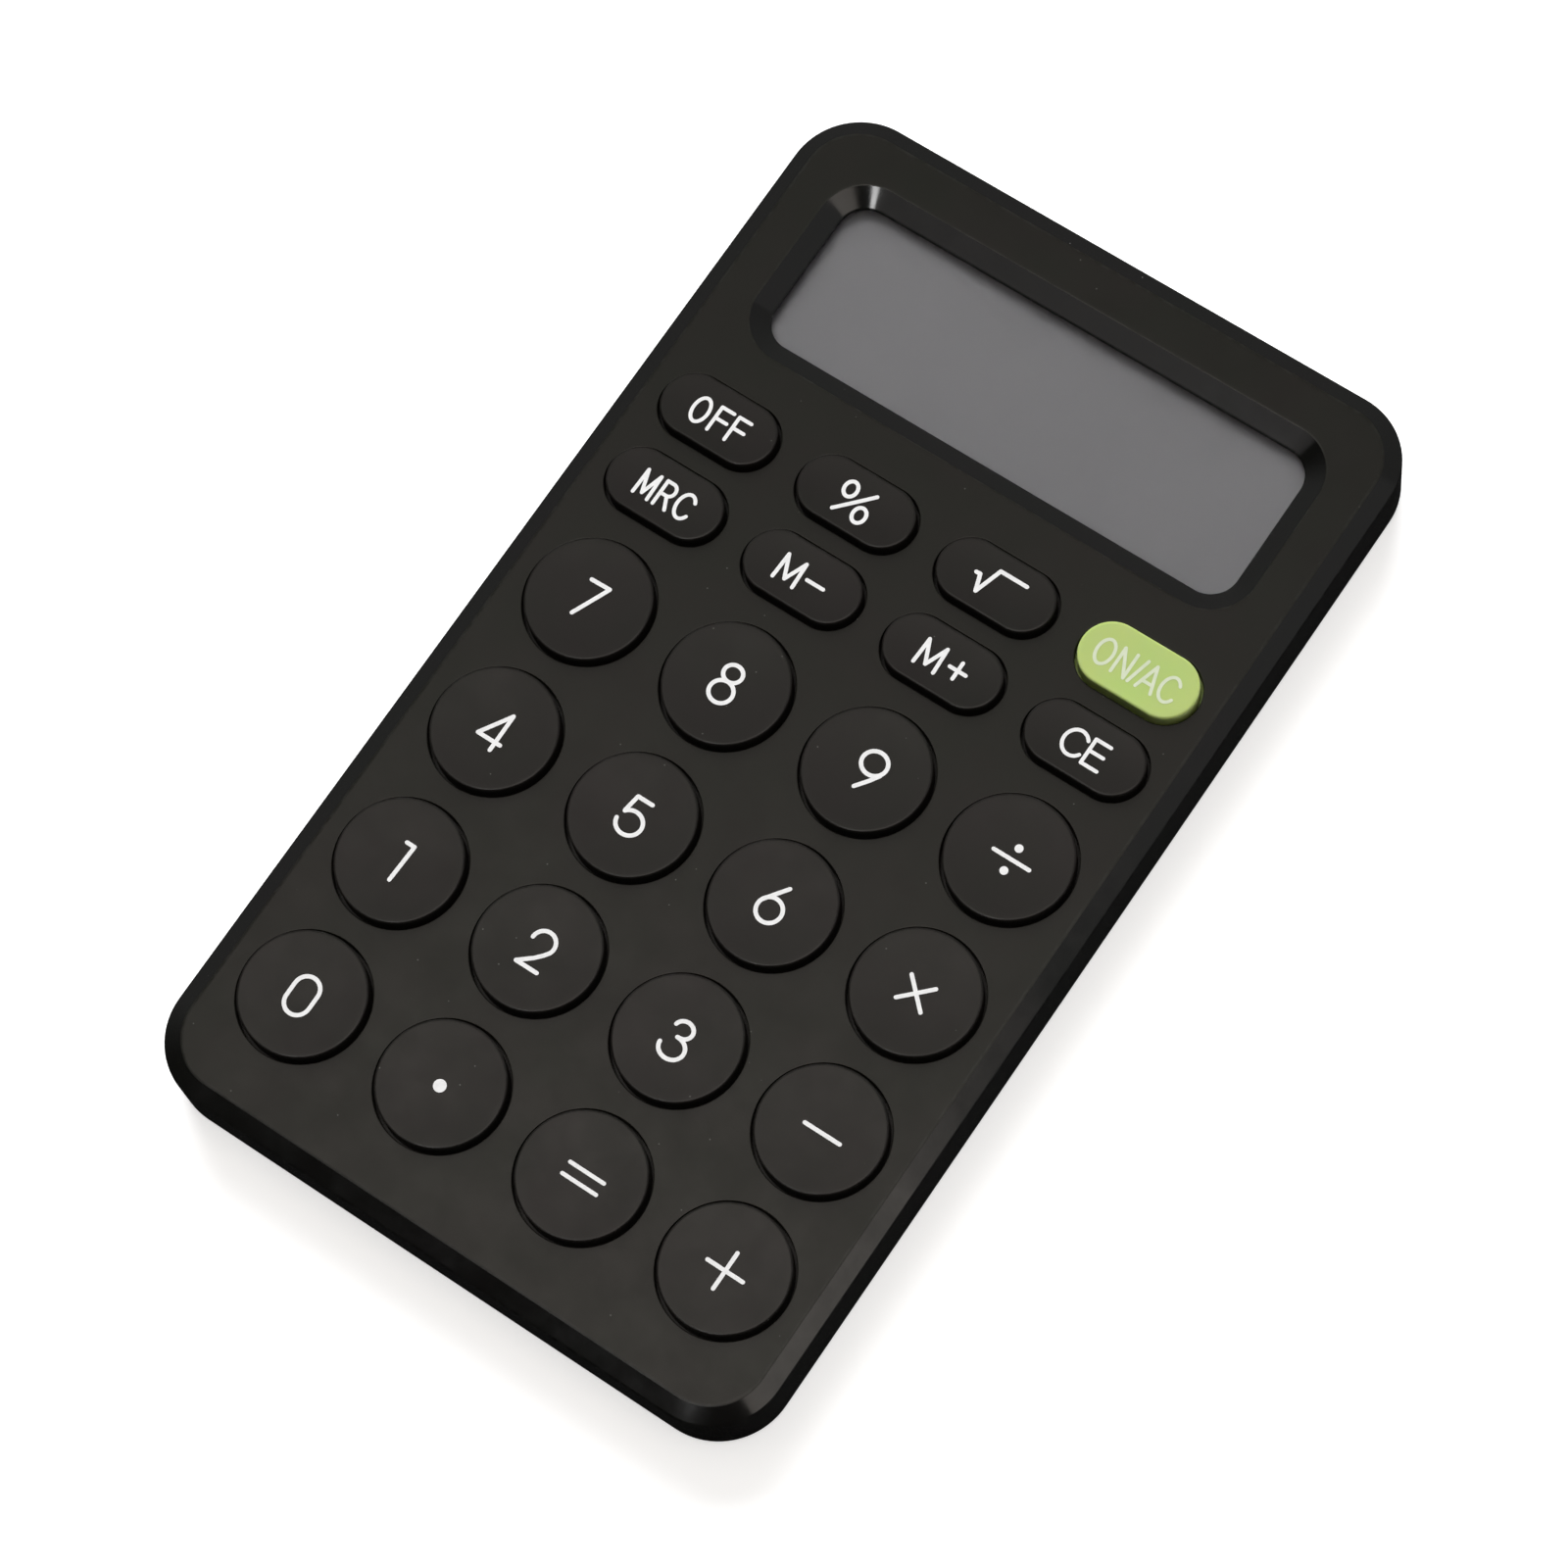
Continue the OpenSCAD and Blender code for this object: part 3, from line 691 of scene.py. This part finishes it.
def legends():
    """Strokes and stroke width of every key's legend, in mm."""
    marks = {"key_" + digit: (strokes, 0.43) for digit, strokes in DIGITS.items()}
    marks.update({
        "key_point": ([disc(0.05, -0.2, 0.66)], 0.4),
        "key_equals": ([[(-1.65, 0.5), (2.25, 0.5)], [(-1.65, -0.8), (2.25, -0.8)]], 0.4),
        "key_plus": ([[(-1.85, -0.15), (2.15, -0.15)], [(0.17, 1.85), (0.17, -2.15)]], 0.42),
        "key_minus": ([[(-1.65, -0.26), (2.3, -0.26)]], 0.42),
        "key_multiply": ([[(-1.3, 1.25), (1.5, -1.43)], [(1.45, 1.27), (-1.3, -1.43)]], 0.42),
        "key_divide": (
            [[(-1.7, -0.1), (2.33, -0.1)], disc(0.33, 1.2, 0.43), disc(0.33, -1.4, 0.43)], 0.42,
        ),
        "key_off": (word(("O", -2.85, -1.2), ("F", -0.35, 1.08), ("F", 1.72, 3.12)), 0.38),
        "key_memory_recall": (
            word(("M", -2.8, -1.12), ("R", -0.42, 0.98), ("C", 1.62, 3.2)), 0.38,
        ),
        "key_memory_minus": (word(("M", -2.5, -0.2), ("-", 0.6, 2.5)), 0.4),
        "key_memory_plus": (word(("M", -2.38, -0.08), ("+", 0.9, 2.75)), 0.4),
        "key_clear_entry": (word(("C", -2.27, -0.02), ("E", 0.5, 2.3)), 0.38),
        "key_on_clear": (word(
            ("O", -4.55, -2.85), ("N", -2.2, -0.8), ("/", -0.3, 0.42),
            ("A", 0.6, 2.3), ("C", 2.72, 4.35),
        ), 0.34),
        "key_percent": ([
            bow(-1.12, 0.76, 0.68, 0.84, 0, 360, 30),
            bow(1.1, -1.12, 0.68, 0.84, 0, 360, 30),
            [(-1.6, -1.85), (1.55, 1.42)],
        ], 0.4),
        "key_root": (
            [[(-2.35, 0.1), (-1.9, 0.12), (-1.32, -1.6), (-0.35, 1.38), (2.68, 1.38)]], 0.42,
        ),
    })
    return marks


def stroke_cells(stroke, width):
    """Convex outlines that together cover a stroke: a slab per segment and a disc per point."""
    cells = []
    for p in stroke:
        r = (p[2] if len(p) == 3 else width) / 2
        cells.append(arc(p[0], p[1], r, 0, 360, 40 if len(p) == 3 else 14)[:-1])
    for a, b in zip(stroke, stroke[1:]):
        along = Vector((b[0] - a[0], b[1] - a[1]))
        pieces = max(1, round(along.length / SLAB_L))
        side = Vector((-along.y, along.x)).normalized() * width / 2
        for k in range(pieces):
            start = Vector(a[:2]) + along * k / pieces
            end = Vector(a[:2]) + along * (k + 1) / pieces
            cells.append([tuple(p) for p in (start - side, end - side, end + side, start + side)])
    return cells


def build_legend(node, strokes, width, material):
    """Thin ink printed on a key's dished top, as one closed layer."""
    x0, y0 = middle_of(node)
    dish = dish_z(node)
    points, cells = [], []
    for stroke in strokes:
        for cell in stroke_cells(stroke, width):
            cells.append(list(range(len(points), len(points) + len(cell))))
            points += [Vector(p) for p in cell]
    flat_points, _, triangles, _, _, covered_by = delaunay_2d_cdt(points, [], cells, 1, 1e-4)
    places = [(x0 + p.x * MM, y0 + p.y * MM) for p in flat_points]
    count = len(places)
    top = [(x, y, dish(x, y) + INK_T) for x, y in places]
    base = [(x, y, dish(x, y) - INK_T) for x, y in places]
    faces, edges = [], {}          # the edges are a dict's keys, so they keep their order
    for triangle, covers in zip(triangles, covered_by):
        if not covers:
            continue
        faces.append(tuple(triangle))
        faces.append(tuple(i + count for i in reversed(triangle)))
        for edge in zip(triangle, (*triangle[1:], triangle[0])):
            edges[edge] = True
    for a, b in edges:
        if (b, a) not in edges:
            faces.append((b, a, a + count, b + count))
    mesh = bpy.data.meshes.new(node)
    mesh.from_pydata(top + base, [], faces)
    mesh.materials.append(material)
    mesh.validate()
    piece = bpy.data.objects.new(node.replace("key_", "legend_"), mesh)
    bpy.context.scene.collection.objects.link(piece)
    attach(piece, node)


# ---------------------------------------------------------------- back pieces
def build_battery_cover(spark):
    """Coin-turned cover: slotted disc, neck with a cup, and two bayonet lugs."""
    skin = Skin()
    low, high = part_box("battery_cover")
    disc_r = (high.y - low.y) / 2
    flange_z = low.z + COVER_T
    lug_z = FLOOR_Z + 0.05 * MM
    under, seat = skin.loft(circle(0, BAY_Y, disc_r, steps=96), rounded_profile([
        (0.3 * MM, low.z, 0),
        (0, low.z, 0.15 * MM),
        (0, flange_z, 0.05 * MM),
        (0.3 * MM, flange_z, 0),
    ], steps=3))
    neck = circle(0, BAY_Y, NECK_R, steps=120)
    neck_low, neck_high = skin.loft(neck, [(0, flange_z), (0, lug_z)])
    skin.flat(seat, [neck_low])
    lugs = stepped_circle(0, BAY_Y, NECK_R, LUG_R, LUG_ANGLE, (0, 180))
    lug_low, lug_high = skin.loft(lugs, [(0, lug_z), (0, high.z)])
    skin.bridge(neck_high, lug_low)
    cup_side = [(0, high.z), (0, low.z + CUP_FLOOR_T)]
    cup_high, cup_low = skin.loft(circle(0, BAY_Y, CUP_R, steps=96), cup_side)
    skin.flat(lug_high, [cup_high])
    skin.face(cup_low)
    coin_slot = capsule(0, BAY_Y, COIN_SLOT_L, COIN_SLOT_R, steps=12)
    slot_top, slot_bed = skin.loft(coin_slot, rounded_profile([
        (-0.1 * MM, low.z, 0), (0, low.z, 0.08 * MM), (0, low.z + COIN_SLOT_D, 0),
    ], steps=3))
    skin.face(slot_bed)
    skin.flat(under, [slot_top, skin.pin(0, BAY_Y + MARK_Y, MARK_R, low.z, low.z + MARK_D)])
    piece = skin.make("coin_cover", [spark], "battery_cover")
    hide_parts("battery_cover")


def build_feet(rubber):
    """Four moulded rubber feet with a rounded rim and two shallow grooves underneath."""
    skin = Skin()
    low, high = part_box("rubber_feet")
    for x, y in FEET:
        outline = circle(x, y, FOOT_R, steps=48)
        top, rim = skin.loft(outline, rounded_profile([
            (0, high.z, 0), (0, low.z, 0.35 * MM), (1.2 * MM, low.z, 0),
        ]))
        skin.face(top)
        rings = [(inset * MM, low.z + height * MM) for inset, height in FOOT_RINGS]
        _, middle = skin.loft(outline, rings, 0, rim)
        skin.face(middle)
    piece = skin.make("feet", [rubber])
    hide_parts("rubber_feet")


def cross(x, y, arm, half_w):
    """Outline of a cross recess: four arms of one length and half width."""
    def loop(inset):
        a, w = arm - inset, half_w - inset * 0.4
        quarter = [(a, -w), (a, w), (w, w)]
        points = []
        for k in range(4):
            c, s = round(math.cos(k * math.pi / 2)), round(math.sin(k * math.pi / 2))
            points += [(x + px * c - py * s, y + px * s + py * c) for px, py in quarter]
        return points
    return loop


def build_screws(node, name, places, shank_r, head_r, head_h, steel):
    """Cross-head screws pointing up: domed head with a tapered recess, threaded shank, point."""
    skin = Skin()
    low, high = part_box(node)
    seat_z = low.z + head_h
    for x, y in places:
        shank = circle(x, y, shank_r, steps=20)
        thread = [(0.12 * MM, seat_z)]
        for k in range(int((high.z - seat_z - shank_r) / THREAD_PITCH)):
            thread += [
                (0, seat_z + (k + 0.5) * THREAD_PITCH),
                (THREAD_D, seat_z + (k + 1) * THREAD_PITCH),
            ]
        root, tip = skin.loft(shank, thread + [(shank_r * 0.8, high.z)])
        skin.face(tip)
        seat, face = skin.loft(circle(x, y, head_r, steps=40), rounded_profile([
            (0, seat_z, 0),
            (0, low.z + 0.15 * MM, 0.1 * MM),
            (0.25 * MM, low.z + 0.02 * MM, 0.1 * MM),
            (0.45 * MM, low.z, 0),
        ], steps=3))
        skin.flat(seat, [root])
        mouth, bed = skin.loft(cross(x, y, head_r * RECESS_SHARE, RECESS_HALF_W), [
            (0, low.z), (0.05 * MM, low.z + 0.3 * MM), (0.3 * MM, low.z + 0.5 * MM),
        ])
        skin.face(bed)
        skin.flat(face, [mouth])
    piece = skin.make(name, [steel])
    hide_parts(node)


# ---------------------------------------------------------------- materials
class Material:
    """A Principled material and short ways to add the nodes that drive it."""

    def __init__(self, name, **sockets):
        self.material = bpy.data.materials.new(name)
        self.material.use_nodes = True
        self.tree = self.material.node_tree
        self.shader = self.tree.nodes["Principled BSDF"]
        for socket, value in sockets.items():
            self.shader.inputs[socket.replace("_", " ")].default_value = value
        self.place = self.tree.nodes.new("ShaderNodeTexCoord").outputs["Object"]

    def node(self, kind, **settings):
        made = self.tree.nodes.new(kind)
        for key, value in settings.items():
            setattr(made, key, value)
        return made

    def noise(self, size, detail=3, rough=0.55):
        """Noise whose features are about size metres across."""
        made = self.node("ShaderNodeTexNoise")
        made.inputs["Scale"].default_value = 1 / size
        made.inputs["Detail"].default_value = detail
        made.inputs["Roughness"].default_value = rough
        self.tree.links.new(self.place, made.inputs["Vector"])
        return made.outputs["Fac"]

    def ramp(self, source, low, high, start=0.35, end=0.65):
        """Source stretched from start..end to low..high."""
        made = self.node("ShaderNodeMapRange")
        made.inputs["From Min"].default_value = start
        made.inputs["From Max"].default_value = end
        made.inputs["To Min"].default_value = low
        made.inputs["To Max"].default_value = high
        self.tree.links.new(source, made.inputs["Value"])
        return made.outputs["Result"]

    def mix(self, factor, first, second):
        """Blend from first to second, each a plain colour or a node's output."""
        made = self.node("ShaderNodeMix", data_type="RGBA")
        for socket, colour in (("A", first), ("B", second)):
            if isinstance(colour, tuple):
                made.inputs[socket].default_value = (*colour, 1)
            else:
                self.tree.links.new(colour, made.inputs[socket])
        self.tree.links.new(factor, made.inputs["Factor"])
        return made.outputs["Result"]

    def multiply(self, first, second):
        made = self.node("ShaderNodeMath", operation="MULTIPLY")
        self.tree.links.new(first, made.inputs[0])
        self.tree.links.new(second, made.inputs[1])
        return made.outputs["Value"]

    def drive(self, socket, source):
        self.tree.links.new(source, self.shader.inputs[socket])

    def bump(self, height, distance, strength=1.0, under=None):
        made = self.node("ShaderNodeBump")
        made.inputs["Strength"].default_value = strength
        made.inputs["Distance"].default_value = distance
        self.tree.links.new(height, made.inputs["Height"])
        if under:
            self.tree.links.new(under, made.inputs["Normal"])
        return made.outputs["Normal"]


def shade(colour, factor):
    return tuple(min(1, c * factor) for c in colour)


def moulded(name, colour, rough, grain, depth, drift_share=0.12, ior=1.47):
    """Moulded plastic: a fine eroded grain, slow colour drift and handling marks in the gloss."""
    m = Material(name, Roughness=rough, IOR=ior)
    # The colour wanders a little between a greener and a redder side of itself.
    share, (r, g, b) = drift_share / 2, colour
    greener = (r * (1 - share), g * (1 + share / 2), b * (1 - share / 2))
    redder = (r * (1 + share), g * (1 - share / 2), b * (1 + share))
    tinted = m.mix(m.ramp(m.noise(9 * MM), 0, 1), greener, redder)
    # Outer edges are a little paler where hands have rubbed them, in patches.
    edges = m.node("ShaderNodeAttribute", attribute_name="wear").outputs["Fac"]
    patches = m.ramp(m.noise(1.5 * MM, detail=4, rough=0.7), low=0, high=0.6, start=0.45, end=0.6)
    rubbed = tuple(c * 1.1 + 0.012 for c in colour)
    worn = m.mix(m.multiply(edges, patches), tinted, rubbed)
    # Sparse specks of dust: the surface cuts through few of the cells' middles.
    cells = m.node("ShaderNodeTexVoronoi")
    cells.inputs["Scale"].default_value = 1 / (2.6 * MM)
    m.tree.links.new(m.place, cells.inputs["Vector"])
    specks = m.ramp(cells.outputs["Distance"], low=0.8, high=0, start=0.018, end=0.034)
    m.drive("Base Color", m.mix(specks, worn, DUST))
    m.drive("Roughness", m.ramp(m.noise(5 * MM, detail=4, rough=0.65), rough - 0.04, rough + 0.05))
    swell = m.bump(m.noise(7 * MM, detail=1), distance=0.02 * MM, strength=0.3)
    m.drive("Normal", m.bump(m.noise(grain, rough=0.6), distance=depth, under=swell))
    return m.material


def simple(name, colour, rough, grain=0.4 * MM, depth=0.005 * MM, second=None, **sockets):
    """Any other finish: two close colours in a noise, uneven roughness and a little relief."""
    m = Material(name, **sockets)
    patches = m.ramp(m.noise(grain * 6), 0, 1)
    m.drive("Base Color", m.mix(patches, colour, second or shade(colour, 1.2)))
    m.drive("Roughness", m.ramp(m.noise(grain * 4), max(rough - 0.05, 0.02), rough + 0.05))
    m.drive("Normal", m.bump(m.noise(grain, detail=2), depth))
    return m.material


def clear(name, tint, rough, ior=1.49):
    """Clear acrylic or glass with faint wipe marks in its gloss."""
    m = Material(name, Base_Color=(*tint, 1), IOR=ior, Transmission_Weight=1.0)
    m.drive("Roughness", m.ramp(m.noise(3 * MM, detail=5, rough=0.7), rough, rough + 0.04))
    return m.material


def dress(node, material):
    """Gives a CAD node that stays its finished material."""
    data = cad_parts[node].data
    data.materials.clear()
    data.materials.append(material)


# ---------------------------------------------------------------- studio
def add_studio():
    """Pale floor, uneven surround, softbox overhead, broad fill and three reflected lights."""
    scene = bpy.context.scene
    bm = bmesh.new()
    bmesh.ops.create_grid(bm, x_segments=1, y_segments=1, size=3)
    mesh = bpy.data.meshes.new("floor")
    bm.to_mesh(mesh)
    bm.free()
    floor = bpy.data.objects.new("floor", mesh)
    floor.location.z = -0.02 * MM
    paint = Material(
        "floor_paper", Roughness=0.9, Base_Color=(0.9, 0.9, 0.9, 1), Specular_IOR_Level=0.1,
        Emission_Color=(1, 1, 1, 1), Emission_Strength=0.6,
    )
    mesh.materials.append(paint.material)
    floor.visible_glossy = False
    scene.collection.objects.link(floor)

    world = bpy.data.worlds.new("surround")
    world.use_nodes = True
    tree = world.node_tree
    background = tree.nodes["Background"]
    background.inputs["Color"].default_value = (1, 1, 1, 1)
    direction = tree.nodes.new("ShaderNodeTexCoord").outputs["Generated"]
    split = tree.nodes.new("ShaderNodeSeparateXYZ")
    tree.links.new(direction, split.inputs[0])
    # The room is dim behind the camera and below the table, and lighter past the display end.
    strength = tree.nodes.new("ShaderNodeMath")
    strength.operation = "MULTIPLY"
    for i, axis, start, end, low, high in (
        (0, "Y", -0.45, 0.2, 0.12 * ROOM_LEVEL, ROOM_LEVEL), (1, "Z", 0, 0.15, 0.06, 1),
    ):
        ease = tree.nodes.new("ShaderNodeMapRange")
        ease.interpolation_type = "SMOOTHSTEP"
        ease.inputs["From Min"].default_value = start
        ease.inputs["From Max"].default_value = end
        ease.inputs["To Min"].default_value = low
        ease.inputs["To Max"].default_value = high
        tree.links.new(split.outputs[axis], ease.inputs["Value"])
        tree.links.new(ease.outputs["Result"], strength.inputs[i])
    tree.links.new(strength.outputs[0], background.inputs["Strength"])
    scene.world = world
    scene.view_settings.view_transform = "Standard"

    # Name, place, size, power, colour, then whether it is seen in reflections, lights surfaces
    # and lights the display through its window. Only the fill does that, so the display has a
    # soft shadow along its top and left.
    for name, place, size, power, colour, glossy, diffuse, window in (
        ("softbox", (0.215, -0.0675, 0.8), (1.15, 0.465), 2.2, (1, 0.92, 0.84), True, True, False),
        ("fill", (-0.7, 0.85, 0.9), (0.95, 0.95), 21.6, (0.98, 1, 1.02), False, True, True),
        ("strobe", (0.0, -0.54, 0.81), (0.13, 0.2), 1.0, (1, 1, 1), True, False, False),
        ("card", (-0.3, -0.58, 0.8), (0.5, 0.17), 0.13, (1, 0.96, 0.94), True, False, False),
        ("side_card", (0.66, 0.4, 0.8), (0.3, 0.3), 0.035, (1, 1, 1), True, False, False),
    ):
        light = bpy.data.lights.new(name, "AREA")
        light.shape = "RECTANGLE"
        light.size, light.size_y = size
        light.energy = power
        light.color = colour
        lamp = bpy.data.objects.new(name, light)
        lamp.location = place
        lamp.visible_glossy = glossy
        lamp.visible_diffuse = diffuse
        lamp.visible_transmission = window
        if name != "softbox":          # it faces straight down; the others face the calculator
            lamp.rotation_mode = "QUATERNION"
            lamp.rotation_quaternion = Vector(place).to_track_quat("Z", "Y")
        scene.collection.objects.link(lamp)


# ---------------------------------------------------------------- make everything
add_camera()

matte_face = moulded("matte_face", CHARCOAL, 0.37, grain=0.16 * MM, depth=0.0015 * MM)
gloss_edge = moulded("gloss_edge", BLACK, 0.14, grain=0.5 * MM, depth=0.0004 * MM, ior=1.53)
spark_back = moulded("spark_back", CHARCOAL, 0.6, grain=0.22 * MM, depth=0.012 * MM)
satin_key = moulded("satin_key", KEY_CHARCOAL, 0.36, grain=0.14 * MM, depth=0.001 * MM)
green_key = moulded("green_key", GREEN, 0.4, grain=0.14 * MM, depth=0.001 * MM, drift_share=0.06)
green_sockets = green_key.node_tree.nodes["Principled BSDF"].inputs
green_sockets["Subsurface Weight"].default_value = 0.5
green_sockets["Subsurface Radius"].default_value = (1, 1, 0.35)
green_sockets["Subsurface Scale"].default_value = 0.5 * MM
ink = {"rough": 0.5, "grain": 0.12 * MM, "depth": 0.003 * MM}
white_ink = simple("white_ink", (0.88, 0.88, 0.88), second=(0.96, 0.96, 0.96), **ink)
pale_ink = simple("pale_ink", (0.68, 0.76, 0.55), second=(0.74, 0.8, 0.61), **ink)
rubber = simple("foot_rubber", (0.012, 0.012, 0.012), 0.8, grain=0.2 * MM, depth=0.01 * MM)
steel = simple("screw_steel", (0.5, 0.5, 0.49), 0.3, grain=0.1 * MM, depth=0.002 * MM, Metallic=1.0)
silicone = simple("silicone", (0.45, 0.45, 0.43), 0.5)
carbon = simple("carbon", (0.01, 0.01, 0.01), 0.7)

build_front_shell(matte_face, gloss_edge)
build_back_shell(spark_back, gloss_edge)
for key_node in KEY_NODES:
    build_key(key_node, green_key if key_node == "key_on_clear" else satin_key)
for key_node, (strokes, width) in legends().items():
    build_legend(key_node, strokes, width, pale_ink if key_node == "key_on_clear" else white_ink)
build_key_web(silicone)
for key_node in KEY_NODES:
    build_dome(key_node, silicone, carbon)
build_battery_cover(spark_back)
build_feet(rubber)
build_screws(
    "case_screws", "back_screws", CASE_SCREWS,
    shank_r=0.8 * MM, head_r=1.75 * MM, head_h=0.9 * MM, steel=steel,
)
build_screws(
    "board_screws", "inner_screws", BOARD_SCREWS,
    shank_r=0.7 * MM, head_r=1.5 * MM, head_h=0.7 * MM, steel=steel,
)

dress("display_window", clear("acrylic", (0.97, 0.98, 0.98), 0.02))
dress("window_tape", simple("tape", (0.01, 0.01, 0.01), 0.7))
dress("lcd_polariser", simple(
    "polariser", (0.398, 0.375, 0.378), 0.5, grain=3 * MM, depth=0.0002 * MM,
    second=(0.408, 0.384, 0.387), Specular_IOR_Level=0.05,
))
lcd_glass = clear("lcd_glass", (0.9, 0.94, 0.93), 0.01, 1.52)
dress("lcd_front_glass", lcd_glass)
dress("lcd_rear_glass", lcd_glass)
dress("lcd_reflector", simple("reflector", (0.5, 0.5, 0.49), 0.3, Metallic=0.6))
dress("lcd_holder", simple("natural_moulding", (0.68, 0.66, 0.6), 0.45))
dress("zebra_strip", simple("zebra", (0.6, 0.4, 0.36), 0.6))
dress("circuit_board", simple("board", (0.02, 0.12, 0.05), 0.3))
dress("chip_blob", simple("epoxy", (0.01, 0.01, 0.01), 0.2))
dress("board_capacitors", simple("ceramic", (0.35, 0.22, 0.12), 0.5))
dress("board_resistors", simple("resistor", (0.015, 0.015, 0.017), 0.3))
dress("button_cell", simple("cell_can", (0.62, 0.62, 0.6), 0.25, Metallic=1.0))
contact = simple("contact_strip", (0.62, 0.6, 0.54), 0.3, Metallic=1.0)
dress("contact_positive", contact)
dress("contact_negative", contact)

add_studio()
